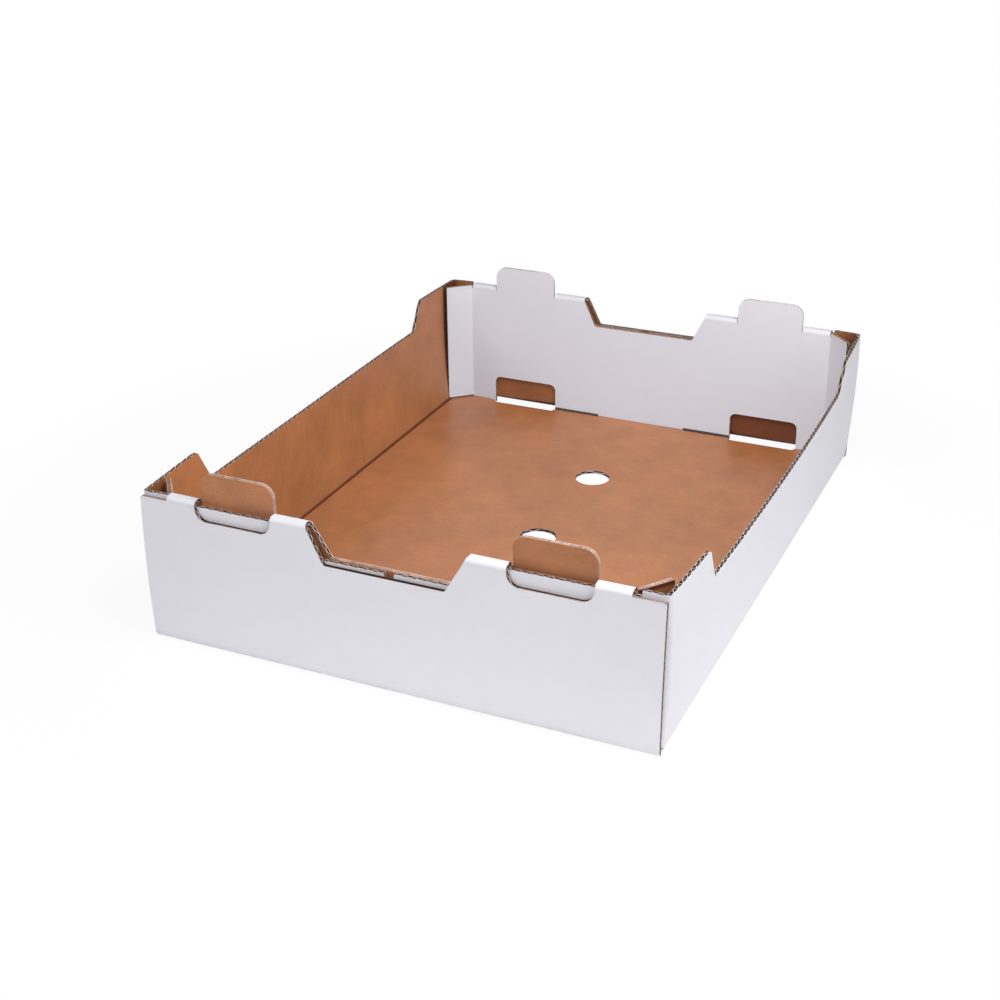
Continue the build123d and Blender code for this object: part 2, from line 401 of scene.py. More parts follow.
def ear_edge(notch_x, notch_half):
    """An ear and the notch it is cut from, with the notch's middle and half its width."""
    return rounded([
        (ear_x + ear_half, inner_start),
        (ear_x + ear_half, on_inner_wall(ear_top), ear_rounding),
        (ear_x - ear_half, on_inner_wall(ear_top), ear_rounding),
        (ear_x - ear_half, inner_start),
        (notch_x - notch_half, inner_start),
        (notch_x - notch_half, on_outer_wall(ear_notch_z), ear_rounding),
        (notch_x + notch_half, on_outer_wall(ear_notch_z), ear_rounding),
        (notch_x + notch_half, inner_start),
    ])


slot_front = half_length - strip_depth - slot_gap
socket_front = half_length - strip_depth - socket_depth
socket_half = window_half - socket_taper


def slot_edge(turn):
    """A floor slot, which reaches into the foot crease by the turn."""
    slot_back = floor_end + crease_bend * turn
    return rounded([
        (lug_inner_x, slot_back),
        (lug_inner_x, slot_front),
        (ear_x - window_half, slot_front),
        (ear_x - socket_half, socket_front, 1.5),
        (ear_x + socket_half, socket_front, 1.5),
        (ear_x + window_half, slot_front),
        (lug_outer_x, slot_front),
        (lug_outer_x, slot_back),
    ])


turn_round = np.linspace(0, 2 * pi, 49)[:-1]
vent_edge = vent_radius * np.stack([np.cos(turn_round), np.sin(turn_round)], axis=-1)
for end in (-1, 1):
    left, right = (grip_chain(*grip_places[side, end]) for side in (-1, 1))
    end_loops.append(np.concatenate([right, left[::-1] * (-1, 1)]) * (1, end))
    for side in (-1, 1):
        ear = ear_edge(ear_x + notch_shift[side, end], ear_notch_halves[end])
        end_loops += [ear * (side, end), slot_edge(slot_turns[end]) * (side, end)]
for k in (-1, 0, 1):
    end_loops.append(vent_edge + (vent_x, vent_y + k * vent_pitch))
print("end sheet:", len(end_loops), "outlines,", sum(map(len, end_loops)), "points")

# %% Outline of a side wall with its flaps
flap_end = corner_end + hinge_x - 0.75     # the two flaps nearly meet in the middle
flap_low_z = wall_height - board - 0.8     # under a top strip
flap_grip_z = wall_height - inner_grip_depth


def up_side_wall(z):
    """Distance up the leaning wall from the floor, for a height z."""
    return wall_foot + (z - crease_bend + crease_bend * sin(side_lean)) / cos(side_lean)


flap_grip_half = grip_half + 5.0           # a flap's notch is wider than the walls'
flap_notch = on_side_sheet(flap_grip_half - grip_slope * inner_grip_depth, flap_grip_z)
shoulder_x = flap_grip_half - grip_slope * (wall_height - flap_low_z)
flap_shoulder = on_side_sheet(shoulder_x, flap_low_z)
dip_z, dip_inset, peak_inset = 93.9, 89.0, 74.0    # a side wall's lower middle part
flap_step_gap = {(-1, -1): 2.5, (1, -1): 7.0, (-1, 1): 2.5, (1, 1): 2.5}     # by corner


def side_half_edge(step_gap):
    """Half of a side sheet's outline: from the middle of its top, round the flap, to the seam."""
    step = on_side_sheet(strip_x + step_gap, flap_low_z)
    edge = rounded([
        (0, up_side_wall(dip_z)),
        (half_length - dip_inset, up_side_wall(dip_z), 3.0),
        (half_length - peak_inset, up_side_wall(wall_height), 4.0),
        (step[0], up_side_wall(wall_height), 1.0),
        (step[0], step[1], 1.5),
        flap_shoulder,
        (flap_notch[0], flap_notch[1], 2.0),
        (flap_end, flap_notch[1] - sin(side_lean) * (flap_end - flap_notch[0])),
        (flap_end, wall_foot, 2.0),
        (corner_start, wall_foot),
        (corner_start, 0),
    ])
    side_seam = np.stack([seam_y[seam_half + 1:-1][::-1], np.zeros(seam_half - 1)], axis=-1)
    return np.concatenate([edge[1:], side_seam])


side_loops = {}
for side in (-1, 1):
    near, far = side_half_edge(flap_step_gap[side, -1]), side_half_edge(flap_step_gap[side, 1])
    side_loops[side] = [np.concatenate([far, near[::-1] * (-1, 1)])]
print("side sheet:", len(side_loops[1][0]), "points")

# %% [markdown]
# ## Filling a paper
#
# Boolean modifiers could cut the holes out of a grid, but they leave slivers, which show where
# the sheet bends. So the flat sheet is filled with triangles that keep to the outlines. Ruled
# lines are laid over it as well: closely across each bend, so that it comes out round, and
# about two fingers apart elsewhere. Triangles whose middle lies outside the outlines are
# waste, as on a die cutter.

# %% Fill outlines on the flat sheet
def inside(points, loops):
    """True for each point with an odd number of outline edges to its right."""
    odd = np.zeros(len(points), bool)
    u, v = points[:, 0], points[:, 1]
    for loop in loops:
        a, b = loop, np.roll(loop, -1, axis=0)
        for k in range(len(loop)):
            if a[k, 1] == b[k, 1]:
                continue
            spans = (a[k, 1] > v) != (b[k, 1] > v)
            crossing = a[k, 0] + (v - a[k, 1]) * (b[k, 0] - a[k, 0]) / (b[k, 1] - a[k, 1])
            odd ^= spans & (crossing > u)
    return odd


def fill(loops, lines):
    """Flat points and triangles that cover the inside of the loops, split along the lines."""
    points, edges = [], []
    for loop in loops:
        first = len(points)
        points += [Vector(p) for p in loop.tolist()]
        edges += [(first + k, first + (k + 1) % len(loop)) for k in range(len(loop))]
    for start, end in lines:
        points += [Vector(start), Vector(end)]
        edges.append((len(points) - 2, len(points) - 1))
    result = delaunay_2d_cdt(points, edges, [], 0, 1e-5)
    flat = np.array([tuple(p) for p in result[0]])
    triangles = np.array(result[2])
    triangles = triangles[inside(flat[triangles].mean(axis=1), loops)]
    used, triangles = np.unique(triangles, return_inverse=True)
    return flat[used], triangles.reshape(-1, 3)


def spread(first, last, gap):
    """Evenly spaced values from first to last, about gap apart."""
    return np.linspace(first, last, max(2, int(round(abs(last - first) / gap)) + 1))


# %% Lines ruled on the sheet of the floor and the end walls
bend_steps = 7
crease_shade_margin = 2.0          # the painted shade of a crease reaches this far beyond its bend
row_gap, column_gap = 20.0, 25.0
ear_rows = (127.0, 124.0, 121.0, 118.5)    # heights on an ear where its shade changes
lug_shade_start = on_inner_wall(foot_z + 1.9)      # the shade between the lugs begins here
shade_edge = 0.5                                   # and is full after this
sheet_half_width = 206.0     # a little more than a wing's end
wing_bend_places = wing_bend_start + np.array([0.0, 0.3, 0.6, 0.95])
wing_middle = 190.0
bends = [(floor_end, wall_start), (wall_end, strip_start), (strip_end, inner_start)]

rows = [np.linspace(a, b, bend_steps + 1) for a, b in bends]
rows += [np.array((a - crease_shade_margin, b + crease_shade_margin)) for a, b in bends]
rows += [np.array((lug_shade_start, lug_shade_start + shade_edge))]
rows += [on_inner_wall(np.array(ear_rows))]
rows += [spread(wall_start, wall_end, row_gap)]
rows += [spread(inner_start, on_inner_wall(foot_z), row_gap)]
rows = np.unique(np.round(np.concatenate(rows), 6))
end_lines = [((-hinge_x, v), (hinge_x, v)) for v in seam_y[1:-1:2]]
for v in rows:
    end_lines += [((-sheet_half_width, f * v), (sheet_half_width, f * v)) for f in (-1, 1)]
for u in spread(-175, 175, column_gap):
    end_lines.append(((u, -on_inner_wall(lug_z)), (u, on_inner_wall(lug_z))))


def four_lines(places, first, last):
    """The lines at the places u from v = first to last, in all four quarters of the sheet."""
    return [((fu * u, fv * first), (fu * u, fv * last))
            for u in places for fu in (-1, 1) for fv in (-1, 1)]


end_lines += four_lines([*wing_bend_places, wing_middle],
                        on_inner_wall(wing_top_z + 1), on_inner_wall(0))
end_lines += four_lines([lug_inner_x, lug_inner_x + shade_edge, ear_x - window_half - 0.01],
                        lug_shade_start - 1, on_inner_wall(lug_z))
end_flat, end_triangles = fill(end_loops, end_lines)
print("end sheet:", len(end_triangles), "triangles")

# %% Lines ruled on a side sheet
above_wall = 130.0
wall_rows = spread(wall_foot, 120.0, 16.0)[1:]
flap_column_gap = 30.0
pocket_lines = (235.6, 236.0, 242.0, 248.0)        # the shade behind a wing's end changes here

side_lines = [((-corner_start, q), (corner_start, q))
              for q in [*np.linspace(0, wall_foot, bend_steps + 1)[1:], wall_foot + crease_shade_margin]]
side_lines += [((-flap_end, q), (flap_end, q)) for q in wall_rows]
side_lines += [((p, 0), (p, above_wall)) for p in seam_y[1:-1:2]]
uprights = [(p, wall_foot) for p in (*np.linspace(corner_start, corner_end, bend_steps + 1),
                                     corner_start - crease_shade_margin, corner_end + crease_shade_margin)]
uprights += [(p, 0) for p in spread(corner_end, flap_end, flap_column_gap)[1:-1]]
uprights += [(p, wall_foot) for p in pocket_lines]
side_lines += [((f * p, foot), (f * p, above_wall)) for f in (-1, 1) for p, foot in uprights]
side_sheets = {side: fill(side_loops[side], side_lines) for side in (-1, 1)}
print("side sheet:", len(side_sheets[1][1]), "triangles")

# %% [markdown]
# ## The two liners
#
# The liners are the two flat papers of the board. A Solidify modifier could thicken a single
# surface, but the fold gives every depth in the board exactly, also in a tight crease. So a
# liner is the filled sheet twice, once for each face of the paper, closed along every cut edge
# by a narrow rim. Where the side walls meet the floor the sheet isn't cut, so there the rim is
# left out and the points are joined.

# %% Close a sheet into a shell
def shell(front, back, faces, seam_edge=None):
    """Vertices and faces of a closed sheet.

    They are the front faces, the back ones turned over, and a rim of four-cornered faces
    along each edge that only one face has, apart from edges on the seam.
    """
    size, sides = len(front), faces.shape[1]
    edges = np.concatenate([faces[:, [k, (k + 1) % sides]] for k in range(sides)])
    keys = np.sort(edges, axis=1)
    _, index, counts = np.unique(keys, axis=0, return_inverse=True, return_counts=True)
    rim = edges[counts[index.ravel()] == 1]
    if seam_edge is not None:
        rim = rim[~(seam_edge[rim[:, 0]] & seam_edge[rim[:, 1]])]
    walls = np.stack([rim[:, 1], rim[:, 0], rim[:, 0] + size, rim[:, 1] + size], axis=-1)
    return np.concatenate([front, back]), [faces, faces[:, ::-1] + size, walls]


def add_piece(name, parts, materials):
    """Makes one mesh object of several parts (vertices, face groups, flat places, marks).

    Equal points are joined. The groups of faces take the materials in their order. The flat
    place of each point goes into the uv map, in metres, so that a pattern can follow the
    sheet. The marks go into two attributes, which the papers read: painted shade, and painted
    shade in hollows, which marks the far ears' pale edges as well.
    """
    places, groups, flats, marks, start = [], [[], [], []], [], [], 0
    for vertices, faces, flat, marked in parts:
        places.append(vertices)
        flats.append(flat)
        marks.append(marked)
        for group, members in zip(groups, faces):
            group += (members + start).tolist()
        start += len(vertices)
    places, flats, marks = np.concatenate(places), np.concatenate(flats), np.concatenate(marks)
    rounded_places = np.round(places, 3)
    _, keep, joined = np.unique(rounded_places, axis=0, return_index=True, return_inverse=True)
    joined = joined.ravel()
    faces, slots, corners = [], [], []
    for slot, group in enumerate(groups):
        for face in group:
            new = joined[face]
            if len(set(new.tolist())) == len(face):
                faces.append(new.tolist())
                slots.append(slot)
                corners += face
    mesh = bpy.data.meshes.new(name)
    mesh.from_pydata((places[keep] * mm).tolist(), [], faces)
    for material in materials:
        mesh.materials.append(material)
    mesh.polygons.foreach_set("material_index", slots)
    uv = mesh.uv_layers.new(name="sheet")
    uv.data.foreach_set("uv", (flats[corners] * mm).ravel())
    # The two marks: painted shade, and painted shade in hollows with the far ears' pale edges.
    for column, name_of_mark in enumerate(("painted_shade", "hollow_shade_and_pale_edge")):
        attribute = mesh.attributes.new(name_of_mark, "FLOAT", "POINT")
        attribute.data.foreach_set("value", marks[keep, column].copy())
    mesh.shade_smooth()
    mesh.set_sharp_from_angle(angle=radians(40))
    mesh.validate()
    piece = bpy.data.objects.new(name, mesh)
    bpy.context.scene.collection.objects.link(piece)
    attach(piece, "root")
    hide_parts("folded_tray")
    print(name, len(places[keep]), "points", len(faces), "faces")
    return piece


# %% [markdown]
# ## The fluting
#
# The fluting is a wave across the sheet. Its crests run across the tray in the floor and in
# the end walls, and so upright in the side walls. A pattern of waves on the cut edges could
# stand for it, but only a real wave leaves the flutes open. It is straight along its crests,
# so a line from one cut edge to the next is all that each step of the wave needs.

# %% Lines between the cut edges
usual_pitch = 7.75
quarter_wave = 0.25          # a crest lies at the ears' tops, so the pitch is adjusted to that
flutes_to_ear = round(on_inner_wall(ear_top) / usual_pitch - quarter_wave) + quarter_wave
flute_pitch = on_inner_wall(ear_top) / flutes_to_ear
liner = 0.45                 # thickness of a liner
medium = 0.35                # thickness of the fluting paper
print("flute pitch", round(flute_pitch, 3), "mm")


def crossings(loops, levels, across):
    """Sorted places where the lines at the levels cross the outlines, one row per level.

    across is the axis of the levels. Missing crossings are infinite.
    """
    a = np.concatenate(loops)
    b = np.concatenate([np.roll(loop, -1, axis=0) for loop in loops])
    la, lb, ra, rb = a[:, across], b[:, across], a[:, 1 - across], b[:, 1 - across]
    level = levels[:, None]
    spans = (la > level) != (lb > level)
    with np.errstate(divide="ignore", invalid="ignore"):
        place = ra + (level - la) * (rb - ra) / (lb - la)
    place = np.sort(np.where(spans, place, np.inf), axis=1)
    return place[:, : spans.sum(axis=1).max()]


same_cut = 3.0               # lines whose ends are less than this apart end at one cut


def flute_sheet(loops, levels, across, knots, fold):
    """The wavy paper between two liners: depth = half + height * sin(2 pi level / pitch).

    Each step of the wave is a line from edge to edge, with extra points at the knots, where
    the sheet bends the other way. Across its own slope the paper keeps its thickness.
    """
    place = crossings(loops, levels, across)
    number = np.isfinite(place).sum(axis=1)
    height = board / 2 - liner - medium / 2
    wave = 2 * pi * levels / flute_pitch
    slope = height * 2 * pi / flute_pitch * np.cos(wave)
    middle = board / 2 + height * np.sin(wave)
    half = medium / 2 * np.sqrt(1 + slope**2)
    parts = []
    for k in range(place.shape[1] // 2):
        first, last = place[:, 2 * k], place[:, 2 * k + 1]
        there = np.isfinite(last)
        ends = np.where(there, first, 0.0), np.where(there, last, 0.0)
        run = np.clip(np.asarray(knots)[None], ends[0][:, None], ends[1][:, None])
        run = np.concatenate([ends[0][:, None], run, ends[1][:, None]], axis=1)
        rows, columns = run.shape
        grid = np.arange(rows * columns).reshape(rows, columns)
        linked = (number[1:] == number[:-1]) & there[1:] & there[:-1]
        linked &= (np.abs(np.diff(ends[0])) < same_cut) & (np.abs(np.diff(ends[1])) < same_cut)
        width = np.diff(run, axis=1)
        cells = linked[:, None] & ((width[1:] > 1e-3) | (width[:-1] > 1e-3))
        faces = np.stack([grid[:-1, :-1], grid[:-1, 1:], grid[1:, 1:], grid[1:, :-1]], axis=-1)
        faces = faces[cells]
        if len(faces) == 0:
            continue
        used, faces = np.unique(faces, return_inverse=True)
        faces = faces.reshape(-1, 4)
        u = run.ravel()[used]
        v = np.repeat(levels, columns)[used]
        depth, thick = np.repeat(middle, columns)[used], np.repeat(half, columns)[used]
        flat = np.stack([v, u] if across == 0 else [u, v], axis=-1)
        front, back = fold(flat, depth - thick), fold(flat, depth + thick)
        vertices, groups = shell(front, back, faces)
        unmarked = np.zeros((len(vertices), 2))
        parts.append((vertices, groups, np.concatenate([flat, flat]), unmarked))
    return parts


# %% [markdown]
# ## Papers and their finish
#
# Both liners are matt paper with a faint cloudiness, fine fibres and a few specks. The kraft
# one shows the crests of the fluting a little too, the washboard look of corrugated board. A
# photograph of paper could be laid over the faces, but a formula repeats nowhere and needs no
# file. A group of nodes holds what all papers share, and each paper sets its own strengths.
#
# Some places get painted shade in their colour: the inside of a crease, the near ears towards
# their feet, the inner wall's foot over a slot, a flap behind a window, the depth of a corner
# and cuts whose flutes lie open. Each point of the sheet carries two marks for that, and each
# paper has a colour for both; on the far ears' crushed edges the second one is pale instead.

# %% Node helpers
def add_node(tree, kind, links=(), **settings):
    """Adds a node, sets its properties and input values, and makes its links."""
    node = tree.nodes.new(kind)
    for key, value in settings.items():
        if hasattr(node, key):
            setattr(node, key, value)
        else:
            node.inputs[key.replace("_", " ")].default_value = value
    for socket, source in links:
        tree.links.new(source, node.inputs[socket])
    return node


def maths(tree, operation, *values):
    """A Math node on sockets or plain numbers."""
    node = tree.nodes.new("ShaderNodeMath")
    node.operation = operation
    for k, value in enumerate(values):
        if isinstance(value, (int, float)):
            node.inputs[k].default_value = value
        else:
            tree.links.new(value, node.inputs[k])
    return node.outputs[0]


def mixed(tree, share, first, second):
    """A colour between two colours, each a socket or a plain colour."""
    node = tree.nodes.new("ShaderNodeMixRGB")
    tree.links.new(share, node.inputs["Fac"])
    for name, value in (("Color1", first), ("Color2", second)):
        if isinstance(value, tuple):
            node.inputs[name].default_value = value
        else:
            tree.links.new(value, node.inputs[name])
    return node.outputs["Color"]


# %% The paper group
def paper_group():
    """Clouds and specks from places in the tray, fibres and crests from places on the sheet.

    Tone is 1 plus each pattern, less its mean, times its strength. Height adds up the crests,
    the grain and the fibres. Gloss is the grain around 0.
    """
    group = bpy.data.node_groups.new("paper_surface", "ShaderNodeTree")
    face = group.interface
    for name in ("Sheet", "Body"):
        face.new_socket(name, in_out="INPUT", socket_type="NodeSocketVector")
    for name in ("Cloud", "Fibre", "Speck", "Washboard"):
        face.new_socket(name, in_out="INPUT", socket_type="NodeSocketFloat")
    for name in ("Tone", "Height", "Gloss"):
        face.new_socket(name, in_out="OUTPUT", socket_type="NodeSocketFloat")
    given = group.nodes.new("NodeGroupInput").outputs
    out = group.nodes.new("NodeGroupOutput")
    body, sheet = given["Body"], given["Sheet"]

    def noise(vector, **settings):
        node = add_node(group, "ShaderNodeTexNoise", [("Vector", vector)], **settings)
        return node.outputs["Fac"]

    def centred(value, strength):
        return maths(group, "MULTIPLY", maths(group, "SUBTRACT", value, 0.5), strength)

    clouds = noise(body, Scale=38.0, Detail=4.0, Roughness=0.6)
    wide_clouds = noise(body, Scale=7.0, Detail=2.0, Roughness=0.5)
    grain = noise(body, Scale=900.0, Detail=3.0, Roughness=0.7)
    stretch = add_node(group, "ShaderNodeMapping", [("Vector", sheet)])
    stretch.inputs["Scale"].default_value = (260.0, 1500.0, 1.0)
    fibres = noise(stretch.outputs[0], Scale=1.0, Detail=2.0, Roughness=0.6, Distortion=1.2)
    cells = add_node(group, "ShaderNodeTexVoronoi", [("Vector", body)], Scale=330.0)
    specks = maths(group, "LESS_THAN", cells.outputs["Distance"], 0.11)
    place = add_node(group, "ShaderNodeSeparateXYZ", [("Vector", sheet)])
    turns = maths(group, "MULTIPLY", place.outputs["Y"], 2 * pi / (flute_pitch * mm))
    crests = maths(group, "MULTIPLY", maths(group, "SINE", turns), given["Washboard"])

    tone = centred(clouds, given["Cloud"])
    tone = maths(group, "ADD", tone, centred(wide_clouds, given["Cloud"]))
    tone = maths(group, "ADD", tone, centred(fibres, given["Fibre"]))
    tone = maths(group, "SUBTRACT", tone, maths(group, "MULTIPLY", specks, given["Speck"]))
    # The crests shift the tone a little too: painted shading of the washboard.
    tone = maths(group, "ADD", tone, maths(group, "MULTIPLY", crests, 0.25))
    height = maths(group, "ADD", crests, maths(group, "MULTIPLY", grain, 0.05))
    height = maths(group, "ADD", height, maths(group, "MULTIPLY", fibres, 0.05))
    group.links.new(maths(group, "ADD", tone, 1.0), out.inputs["Tone"])
    group.links.new(height, out.inputs["Height"])
    group.links.new(centred(grain, 0.2), out.inputs["Gloss"])
    return group


paper = paper_group()


# %% One paper
def paper_material(name, colour, painted_shade, hollow_shade_and_pale_edge, cloud, fibre, speck, washboard,
                   roughness, sheen, bounce=None):
    """A matt paper: its colour times the group's tone, with the group's height as bump.

    It takes two more colours where the two marks are 1: painted shade for creases and shaded
    places, and painted shade for hollows and open flutes, which on the crushed edges is the
    pale colour of the far ears' edges. Where the first mark is, the paper is rougher too. The
    light that it passes on to other papers takes the colour bounce, where one is given.
    """
    material = bpy.data.materials.new(name)
    material.use_nodes = True
    tree = material.node_tree
    shader = tree.nodes["Principled BSDF"]
    place = tree.nodes.new("ShaderNodeTexCoord")
    sheet = add_node(tree, "ShaderNodeUVMap", uv_map="sheet")
    effect = tree.nodes.new("ShaderNodeGroup")
    effect.node_tree = paper
    tree.links.new(sheet.outputs[0], effect.inputs["Sheet"])
    tree.links.new(place.outputs["Object"], effect.inputs["Body"])
    strengths = {"Cloud": cloud, "Fibre": fibre, "Speck": speck, "Washboard": washboard}
    for key, value in strengths.items():
        effect.inputs[key].default_value = value
    base = (*colour, 1.0)
    # The marks mix in the painted shade colours.
    for attribute, value in (("hollow_shade_and_pale_edge", hollow_shade_and_pale_edge), ("painted_shade", painted_shade)):
        marked = add_node(tree, "ShaderNodeAttribute", attribute_name=attribute).outputs["Fac"]
        base = mixed(tree, marked, base, (*value, 1.0))
    scale = add_node(tree, "ShaderNodeVectorMath", [(0, base)], operation="SCALE")
    tree.links.new(effect.outputs["Tone"], scale.inputs["Scale"])
    tone = scale.outputs[0]
    if bounce:
        rays = tree.nodes.new("ShaderNodeLightPath")
        tone = mixed(tree, rays.outputs["Is Diffuse Ray"], tone, (*bounce, 1.0))
    tree.links.new(tone, shader.inputs["Base Color"])
    creased_roughness = maths(tree, "MULTIPLY", marked, 0.5)
    rough = maths(tree, "ADD", effect.outputs["Gloss"], creased_roughness)
    rough = maths(tree, "ADD", rough, roughness)
    tree.links.new(rough, shader.inputs["Roughness"])
    bump = add_node(tree, "ShaderNodeBump", [("Height", effect.outputs["Height"])],
                    Strength=0.25, Distance=0.0004)
    tree.links.new(bump.outputs[0], shader.inputs["Normal"])
    shader.inputs["Specular IOR Level"].default_value = sheen
    return material


# %% [markdown]
# The kraft liner sends a greyer light on to its neighbours than its own brown. In the
# photograph the white walls beside it stay almost neutral, and a path tracer with the full
# brown would tint them. Only light that has already bounced sees that colour.

# %% The papers and their cut edges
white, pale_cut_white = (0.81, 0.80, 0.85), (0.66, 0.62, 0.65)
# Painted shade colours: kraft deep in corners, and the dark inside of open flutes.
kraft_in_shade, open_flute_shade = (0.09, 0.03, 0.012), (0.10, 0.07, 0.065)
kraft_edge, flute_edge = (0.42, 0.30, 0.27), (0.85, 0.74, 0.68)
cut_edge = dict(washboard=0.0, roughness=0.85, sheen=0.1)

# Each paper's second colour is painted shade; its third is painted shade of hollows, and on the
# crushed edges the far ears' pale edge.
white_paper = paper_material(
    "white_liner", white, painted_shade=(0.10, 0.08, 0.08), hollow_shade_and_pale_edge=white,
    cloud=0.03, fibre=0.03, speck=0.02, washboard=0.0, roughness=0.6, sheen=0.3)
kraft_paper = paper_material(
    "kraft_liner", (0.47, 0.178, 0.066), painted_shade=(0.11, 0.018, 0.002), hollow_shade_and_pale_edge=kraft_in_shade,
    cloud=0.60, fibre=0.55, speck=0.30, washboard=0.04, roughness=0.36, sheen=0.5,
    bounce=(0.25, 0.18, 0.18))
white_cut = paper_material(
    "white_cut", (0.66, 0.60, 0.64), painted_shade=(0.5, 0.45, 0.47), hollow_shade_and_pale_edge=open_flute_shade,
    cloud=0.2, fibre=0.3, speck=0.0, **cut_edge)
kraft_cut = paper_material(
    "kraft_cut", kraft_edge, painted_shade=kraft_edge, hollow_shade_and_pale_edge=open_flute_shade,
    cloud=0.3, fibre=0.3, speck=0.1, **cut_edge)
flute_cut = paper_material(
    "flute_cut", flute_edge, painted_shade=flute_edge, hollow_shade_and_pale_edge=open_flute_shade,
    cloud=0.3, fibre=0.3, speck=0.1, **cut_edge)
crushed_cut = paper_material(
    "crushed_cut", (0.42, 0.265, 0.19), painted_shade=(0.19, 0.12, 0.09), hollow_shade_and_pale_edge=pale_cut_white,
    cloud=1.2, fibre=2.2, speck=0.3, **cut_edge)
# Painted shade: far darker than kraft paper, for the dark inside of the board.
shaded_flute_paper = paper_material(
    "fluting", (0.10, 0.05, 0.033), painted_shade=kraft_in_shade, hollow_shade_and_pale_edge=kraft_in_shade,
    cloud=0.2, fibre=0.25, speck=0.1, **cut_edge)
papers = (white_paper, kraft_paper, white_cut, kraft_cut, flute_cut, crushed_cut, shaded_flute_paper)
print("papers:", ", ".join(material.name for material in papers))

# %% [markdown]
# ## Where shade is painted
#
# The marks follow from a point's place on the flat sheet. They could be painted by hand, but
# a formula keeps them in step with the creases when a size is changed.

# %% Marks on the sheet of the floor and the end walls
outer_wall_shade = 0.7             # painted shade on an outer wall: its cuts, whose flutes lie open, and its kraft face
# Painted shade on the near ears: on all of the right one, and on both towards the foot.
near_right_ear_shade = 0.16
ear_foot_shade = 0.40        # painted shade, growing towards a near ear's foot
ear_foot_from, ear_foot_over = 127.0, 9.0  # from this height down, over this length
wing_root_shade = [(strip_x - 2, 0), (strip_x, 0.9), (184, 0.7), (190, 0)]     # by u


def in_bend(s, start, end):
    """0 outside a bend and its margins, rising on a sine to 1 over most of the bend."""
    start, end = start - crease_shade_margin, end + crease_shade_margin
    return np.minimum(1.5 * np.sin(pi * np.clip((s - start) / (end - start), 0, 1)), 1.0)


def by_table(places, table):
    """Values between those of a table of (place, value)."""
    return np.interp(places, *np.transpose(table))


def end_marks(flat, shade_share):
    """The two painted shade marks for points of the floor and the end walls."""
    u, v = np.abs(flat).T
    near, right = flat[:, 1] < 0, flat[:, 0] > 0
    on_ear = inside_ear(u, v, just_on)
    painted_shade = shade_share * sum(in_bend(v, *bend) for bend in bends) * ~on_ear
    ear_foot_share = np.clip((v - on_inner_wall(ear_foot_from)) / ear_foot_over, 0, 1)
    ear_shade = near_right_ear_shade * right + ear_foot_shade * ear_foot_share
    painted_shade += shade_share * (on_ear & near & (v < inner_start)) * ear_shade
    # Painted shade on the inner wall's foot over a slot, between the lugs.
    between_lugs = (u > lug_inner_x + 0.4) & (u < ear_x)
    painted_shade += between_lugs * np.clip((v - lug_shade_start) / shade_edge, 0, 1)

    # Painted shade in hollows: a top strip's cut end, an outer wall with its cuts, a near wing's
    # root.
    on_strip = (v > wall_end - 1) & (v < inner_start + 1)
    strip_end_cut = (np.abs(u - strip_x) < 0.01) & on_strip
    on_outer_wall = (v > wall_start) & (v < wall_end + 1e-6) & ~on_ear
    hollow_shade_and_pale_edge = np.maximum(strip_end_cut, outer_wall_shade * on_outer_wall)
    wing_root = (v > strip_end) & ~on_ear & near
    hollow_shade_and_pale_edge = np.maximum(hollow_shade_and_pale_edge, shade_share * wing_root * by_table(u, wing_root_shade))
    return np.stack([painted_shade, hollow_shade_and_pale_edge], axis=-1)


# %% Marks on a side sheet
flap_shade = {-1: 0.35, 1: 0.84}           # of a flap behind the windows, by side
flap_shade_from = corner_end + 30
flap_lit_height = 50.0       # the shade fades out above the windows
# Painted shade in the pockets behind the wings, along a side sheet; the near ones get less.
pocket_shade_table = [(pocket_lines[0], 0), (pocket_lines[1], 0.9), (pocket_lines[3], 0.85),
              (corner_start, 0.8), (corner_end + 12, 0.55), (corner_end + 24, 0)]
near_pocket_share = 0.65     # the near pockets get more light


def side_marks(flat, side, shade_share):
    """The two painted shade marks for points of a side sheet."""
    along, up = np.abs(flat[:, 0]), flat[:, 1]
    foot_crease_shade = in_bend(up, 0, wall_foot) * (along < corner_start + 1e-6)
    painted_shade = np.maximum(foot_crease_shade, in_bend(along, corner_start, corner_end))
    behind_window = (along > flap_shade_from) * np.clip(1.6 - up / flap_lit_height, 0, 1)
    painted_shade = shade_share * np.maximum(painted_shade, flap_shade[side] * behind_window)
    pocket_share = np.where(flat[:, 0] > 0, 1.0, near_pocket_share)
    hollow_shade_and_pale_edge = shade_share * pocket_share * by_table(along, pocket_shade_table)
    return np.stack([painted_shade, hollow_shade_and_pale_edge], axis=-1)


# %% Make the outer and the inner liner
def fold_end_paper(flat, depth):
    """The fold of the floor and the end walls, for flat places."""
    return fold_ends(flat[:, 0], flat[:, 1], depth)


def fold_side_paper(side):
    """The fold of one side wall, for flat places."""
    return lambda flat, depth: fold_side(flat[:, 0], flat[:, 1], depth, side)


def liner_part(flat, triangles, fold, depths, on_seam, marks, places):
    """One sheet, folded at two depths of the board and closed into a shell."""
    front, back = (fold(flat, np.full(len(flat), depth)) for depth in depths)
    vertices, groups = shell(front, back, triangles, on_seam)
    return vertices, groups, np.concatenate([places] * 2), np.concatenate([marks] * 2)


